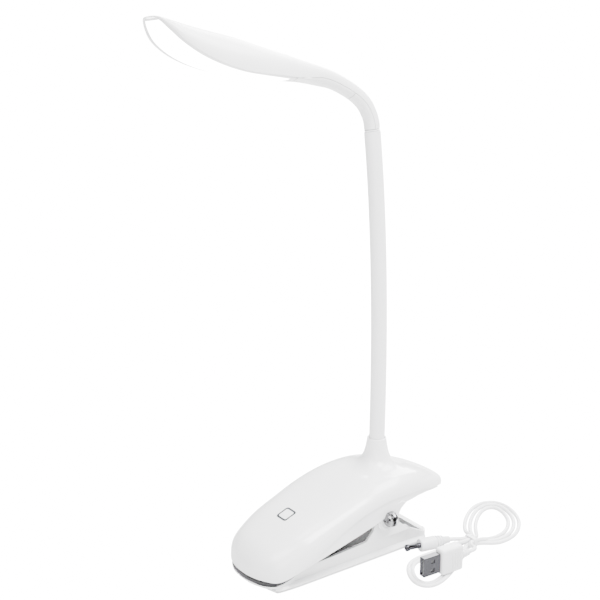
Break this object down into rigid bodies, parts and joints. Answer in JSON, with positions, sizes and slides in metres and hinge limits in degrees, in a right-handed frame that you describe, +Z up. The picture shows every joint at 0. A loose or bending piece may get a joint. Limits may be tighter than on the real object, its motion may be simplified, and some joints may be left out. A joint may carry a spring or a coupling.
{
  "type": "clip-on reading lamp",
  "caption": "Clip-on reading lamp: domed spring clip, slim gooseneck and leaf-shaped head with a diffuser, with its charging lead.",
  "frame": {"origin": "on the floor under the clip, in its plane of symmetry, 27.5 mm in front of the pivot", "axes": "+Z up, -Y towards the nose of the clip, +X to the left of someone who faces along -Y with the lamp upright"},
  "size_m": [0.101, 0.2364, 0.3252],
  "materials": {
    "gloss_white_plastic": "glossy moulded ABS",
    "opal_diffuser": "milky light-spreading plastic",
    "satin_white_silicone": "satin silicone",
    "white_cord": "satin PVC",
    "dark_rubber": "matt rubber",
    "dark_plastic": "dark moulded plastic",
    "chrome": "bright plated",
    "spring_steel": "plain steel",
    "grey_ring": "grey inlay",
    "circuit_board": "coated board",
    "cell_sleeve": "pouch of the cell"
  },
  "bodies": {
    "lower_jaw": {"lower_jaw": "gloss_white_plastic", "foot_pad": "satin_white_silicone", "lower_grip_pad": "dark_rubber", "pivot_bolt": "spring_steel", "cap_nut_near": "chrome", "cap_nut_far": "chrome", "torsion_spring": "spring_steel", "lead_tail_dc": "white_cord", "lead_tail_usb": "white_cord", "lead_coil_far": "white_cord", "lead_coil_near": "white_cord", "lead_waist": "white_cord", "lead_tie": "white_cord", "dc_plug_barrel": "chrome", "dc_plug_body": "white_cord", "usb_shell": "chrome", "usb_insert": "dark_plastic", "usb_plug_body": "white_cord"},
    "clip": {"base_shell": "gloss_white_plastic", "base_cover": "gloss_white_plastic", "upper_grip_pad": "dark_rubber", "touch_ring": "grey_ring", "touch_spring": "spring_steel", "control_board": "circuit_board", "battery_cell": "cell_sleeve", "dc_socket": "dark_plastic", "gooseneck_nut": "spring_steel", "sleeve_0": "satin_white_silicone", "hose_0": "spring_steel", "cover_screw_0": "spring_steel", "cover_screw_1": "spring_steel", "cover_screw_2": "spring_steel", "cover_screw_3": "spring_steel"},
    "stem_1": {"sleeve_1": "satin_white_silicone", "hose_1": "spring_steel"},
    "stem_2": {"sleeve_2": "satin_white_silicone", "hose_2": "spring_steel"},
    "stem_3": {"sleeve_3": "satin_white_silicone", "hose_3": "spring_steel"},
    "stem_4": {"sleeve_4": "satin_white_silicone", "hose_4": "spring_steel"},
    "stem_5": {"sleeve_5": "satin_white_silicone", "hose_5": "spring_steel"},
    "head": {"sleeve_6": "satin_white_silicone", "hose_6": "spring_steel", "neck_ring": "satin_white_silicone", "head_shell": "gloss_white_plastic", "neck_cover_front": "gloss_white_plastic", "neck_cover_rear": "gloss_white_plastic", "diffuser": "opal_diffuser", "led_board": "circuit_board"}
  },
  "joints": [
    {"name": "clip_hinge", "type": "hinge", "parent": "lower_jaw", "child": "clip", "pos_m": [0, 0.0275, 0.028], "axis": [-1, 0, 0], "range_deg": [0, 16], "stiffness_Nm_per_rad": 0.8, "springref_deg": -34.38, "deforming": ["torsion_spring"]},
    {"name": "neck_bend_1", "type": "hinge", "parent": "clip", "child": "stem_1", "pos_m": [-0.00003, 0.03986, 0.08583], "axis": [1, 0, 0], "range_deg": [-25, 25]},
    {"name": "neck_bend_2", "type": "hinge", "parent": "stem_1", "child": "stem_2", "pos_m": [-0.00022, 0.04004, 0.11807], "axis": [0, 1, 0], "range_deg": [-25, 25]},
    {"name": "neck_bend_3", "type": "hinge", "parent": "stem_2", "child": "stem_3", "pos_m": [-0.00074, 0.0399, 0.15015], "axis": [1, 0, 0], "range_deg": [-25, 25]},
    {"name": "neck_bend_4", "type": "hinge", "parent": "stem_3", "child": "stem_4", "pos_m": [-0.00173, 0.03949, 0.18179], "axis": [0, 1, 0], "range_deg": [-25, 25]},
    {"name": "neck_bend_5", "type": "hinge", "parent": "stem_4", "child": "stem_5", "pos_m": [-0.00333, 0.03884, 0.21271], "axis": [1, 0, 0], "range_deg": [-25, 25]},
    {"name": "neck_bend_6", "type": "hinge", "parent": "stem_5", "child": "head", "pos_m": [-0.0057, 0.03801, 0.24264], "axis": [0, 1, 0], "range_deg": [-25, 25]}
  ]
}
